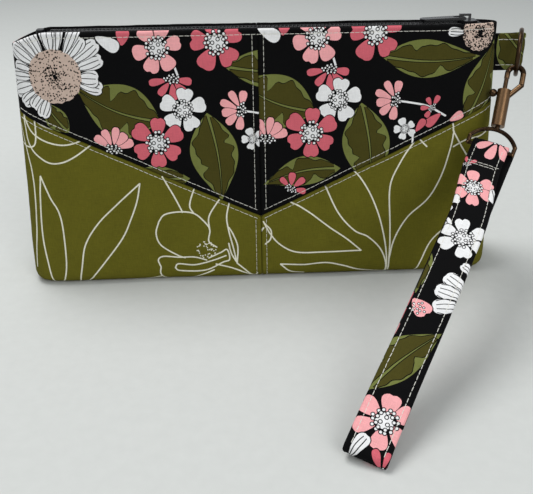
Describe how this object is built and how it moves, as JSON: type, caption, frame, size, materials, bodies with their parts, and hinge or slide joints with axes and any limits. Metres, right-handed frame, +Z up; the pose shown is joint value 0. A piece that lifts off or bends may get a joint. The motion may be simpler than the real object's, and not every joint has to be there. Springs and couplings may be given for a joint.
{
  "type": "wristlet wallet",
  "caption": "Zip-top cotton pouch with a chevron-pieced front and back, a side tab with a D-ring, and a folded wrist strap on a swivel snap hook.",
  "frame": {"origin": "middle of the underside of the boxed base", "axes": "+Z up out of the base, +X along the pouch towards the side tab, -Y the front, where the wrist strap lies"},
  "size_m": [0.2724, 0.1997, 0.1408],
  "materials": {
    "floral_cotton": "matt printed cotton, black ground with flowers and leaves",
    "olive_cotton": "matt printed cotton, olive ground with off-white line drawing",
    "interfacing": "foam interfacing",
    "lining": "plain cotton lining",
    "zipper_tape": "black woven tape",
    "zipper_nylon": "black nylon",
    "zipper_metal": "black enamelled zinc",
    "antique_brass": "dark antique plating worn bright on the edges",
    "spring_steel": "plain wire",
    "thread": "white polyester thread"
  },
  "bodies": {
    "pouch": {"front_upper_left": "floral_cotton", "front_upper_right": "floral_cotton", "front_lower_left": "olive_cotton", "front_lower_right": "olive_cotton", "back_upper_left": "floral_cotton", "back_upper_right": "floral_cotton", "back_lower_left": "olive_cotton", "back_lower_right": "olive_cotton", "front_interfacing": "interfacing", "back_interfacing": "interfacing", "front_lining": "lining", "back_lining": "lining", "slip_pocket": "lining", "zipper_tape_front": "zipper_tape", "zipper_tape_back": "zipper_tape", "zipper_coil_front": "zipper_nylon", "zipper_coil_back": "zipper_nylon", "zipper_bottom_stop": "zipper_metal", "zipper_top_stops": "zipper_metal", "side_tab": "floral_cotton"},
    "slider": {"zipper_slider": "zipper_metal"},
    "pull": {"zipper_pull": "zipper_metal"},
    "ring": {"d_ring": "antique_brass"},
    "hook": {"snap_hook": "antique_brass", "snap_spring": "spring_steel"},
    "gate": {"snap_gate": "antique_brass"},
    "eye": {"swivel_eye": "antique_brass"},
    "strap": {"wrist_strap": "floral_cotton"}
  },
  "joints": [
    {"name": "zipper_slide", "type": "slide", "parent": "pouch", "child": "slider", "axis": [-1, 0, 0], "range_m": [0, 0.2102]},
    {"name": "pull_flip", "type": "hinge", "parent": "slider", "child": "pull", "pos_m": [0.1078, 0, 0.13885], "axis": [0, 1, 0], "range_deg": [0, 165]},
    {"name": "ring_swing", "type": "hinge", "parent": "pouch", "child": "ring", "pos_m": [0.1395, 0, 0.1207], "axis": [0, 0, 1], "range_deg": [-2, 190]},
    {"name": "hook_swing", "type": "hinge", "parent": "ring", "child": "hook", "pos_m": [0.13607, -0.00893, 0.11188], "axis": [-0.2797, -0.7286, 0.6252], "range_deg": [-3, 12]},
    {"name": "gate_slide", "type": "slide", "parent": "hook", "child": "gate", "axis": [-0.2484, -0.5327, -0.809], "range_m": [0, 0.006], "stiffness_N_per_m": 300, "springref_m": -0.004, "deforming": ["snap_spring"]},
    {"name": "eye_swivel", "type": "hinge", "parent": "hook", "child": "eye", "pos_m": [0.12437, -0.02455, 0.08559], "axis": [0.2484, 0.5327, 0.809], "continuous": true},
    {"name": "strap_swing", "type": "hinge", "parent": "eye", "child": "strap", "pos_m": [0.1201, -0.0294, 0.07731], "axis": [0.8733, -0.4501, -0.1864], "range_deg": [-65, 50]}
  ]
}
